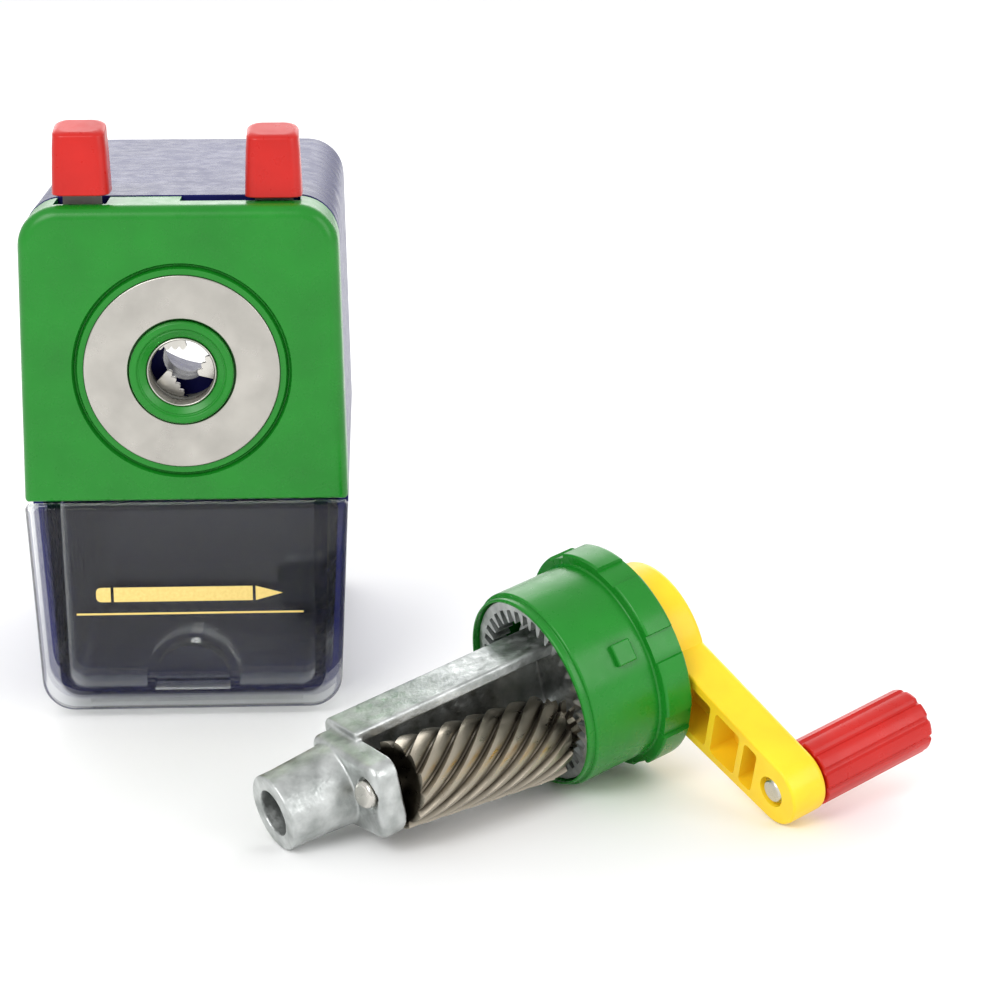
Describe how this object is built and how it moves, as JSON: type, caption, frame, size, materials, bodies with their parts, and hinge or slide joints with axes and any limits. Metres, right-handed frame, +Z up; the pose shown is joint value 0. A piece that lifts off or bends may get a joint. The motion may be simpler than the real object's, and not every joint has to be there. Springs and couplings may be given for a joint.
{
  "type": "pencil sharpener",
  "caption": "Desktop crank pencil sharpener with a sprung pull-out face and pencil chuck, clear shavings drawer and a removable helical cutter unit with its crank.",
  "frame": {"origin": "centre of the underside of the housing's non-slip pad, midway between the front face and the rear face", "axes": "+Z up, -Y out of the front face, +X to the right as seen from the front"},
  "size_m": [0.1713, 0.1659, 0.1197],
  "materials": {
    "navy_plastic": "dark navy moulded ABS, fine even gloss",
    "green_plastic": "bright green moulded ABS, gloss",
    "red_plastic": "bright red moulded plastic, satin gloss",
    "yellow_plastic": "warm yellow moulded plastic, slightly translucent",
    "clear_plastic": "clear colourless polystyrene",
    "cutter_steel": "ground and hardened tool steel with warm grey flutes",
    "bright_steel": "bright rolled or plated steel",
    "cast_zinc": "die-cast zinc, slightly rough grey skin",
    "grey_plastic": "grey acetal, matt",
    "rubber": "black non-slip sheet"
  },
  "bodies": {
    "housing": {"housing_shell": "navy_plastic", "base_pad": "rubber", "front_bulkhead": "navy_plastic", "nose_bearing_bush": "navy_plastic", "rod_bush_left": "grey_plastic", "rod_bush_right": "grey_plastic", "feed_spring_left": "bright_steel", "feed_spring_right": "bright_steel"},
    "face": {"face_plate": "green_plastic", "dial_ring": "bright_steel", "nose_ring": "green_plastic", "nose_ferrule": "bright_steel", "guide_rod_left": "bright_steel", "guide_rod_right": "bright_steel", "rod_clip_left": "bright_steel", "rod_clip_right": "bright_steel", "chuck_plate": "grey_plastic", "chuck_retainer": "grey_plastic", "jaw_pin_1": "bright_steel", "jaw_pin_2": "bright_steel", "jaw_pin_3": "bright_steel", "chuck_screw_1": "bright_steel", "chuck_screw_2": "bright_steel", "chuck_screw_3": "bright_steel", "left_lever_cap": "red_plastic", "lever_return_spring": "bright_steel"},
    "clamp": {"clamp_ring": "grey_plastic", "right_lever_cap": "red_plastic"},
    "jaw_a": {"jaw_1": "bright_steel"},
    "jaw_b": {"jaw_2": "bright_steel"},
    "jaw_c": {"jaw_3": "bright_steel"},
    "drawer": {"drawer_bin": "clear_plastic"},
    "crank": {"cutter_carrier": "cast_zinc", "cutter_axle": "bright_steel", "crank_arm": "yellow_plastic", "crank_screw": "bright_steel", "knob_pin": "bright_steel"},
    "hub": {"hub_shell": "green_plastic", "ring_gear": "cast_zinc", "hub_bearing": "grey_plastic"},
    "cutter": {"helical_cutter": "cutter_steel", "cutter_pinion": "cutter_steel"},
    "knob": {"crank_knob": "red_plastic"}
  },
  "joints": [
    {"name": "face_slide", "type": "slide", "parent": "housing", "child": "face", "axis": [0, -1, 0], "range_m": [0, 0.045], "stiffness_N_per_m": 60, "springref_m": -0.01, "deforming": ["feed_spring_left", "feed_spring_right"]},
    {"name": "clamp_lever", "type": "hinge", "parent": "face", "child": "clamp", "pos_m": [0, -0.046, 0.0715], "axis": [0, -1, 0], "range_deg": [0, 19], "stiffness_Nm_per_rad": 0.25, "springref_deg": -8.59, "deforming": ["lever_return_spring"]},
    {"name": "jaw_1_pivot", "type": "hinge", "parent": "face", "child": "jaw_a", "pos_m": [-0.0086, -0.046, 0.0809], "axis": [0, -1, 0], "range_deg": [0, 19]},
    {"name": "jaw_2_pivot", "type": "hinge", "parent": "face", "child": "jaw_b", "pos_m": [-0.00384, -0.046, 0.05935], "axis": [0, -1, 0], "range_deg": [0, 19]},
    {"name": "jaw_3_pivot", "type": "hinge", "parent": "face", "child": "jaw_c", "pos_m": [0.01244, -0.046, 0.07425], "axis": [0, -1, 0], "range_deg": [0, 19]},
    {"name": "drawer_slide", "type": "slide", "parent": "housing", "child": "drawer", "axis": [0, -1, 0], "range_m": [0, 0.044]},
    {"name": "unit_lift", "type": "slide", "parent": "housing", "child": "crank", "axis": [0, 0, 1], "range_m": [0, 0.1]},
    {"name": "crank_turn", "type": "hinge", "parent": "crank", "child": "hub", "pos_m": [0.01852, -0.11265, 0.00694], "axis": [0.8425, 0.4963, 0.2093], "continuous": true},
    {"name": "cutter_spin", "type": "hinge", "parent": "crank", "child": "cutter", "pos_m": [0.03761, -0.11499, 0.01205], "axis": [0.7571, 0.6528, -0.0253], "continuous": true},
    {"name": "knob_spin", "type": "hinge", "parent": "crank", "child": "knob", "pos_m": [0.11466, -0.10164, 0.00803], "axis": [0.8425, 0.4963, 0.2093], "continuous": true}
  ],
  "couplings": [
    {"joint": "jaw_1_pivot", "follows": "clamp_lever", "ratio": 1},
    {"joint": "jaw_2_pivot", "follows": "clamp_lever", "ratio": 1},
    {"joint": "jaw_3_pivot", "follows": "clamp_lever", "ratio": 1},
    {"joint": "cutter_spin", "follows": "crank_turn", "ratio": 2.5714}
  ]
}
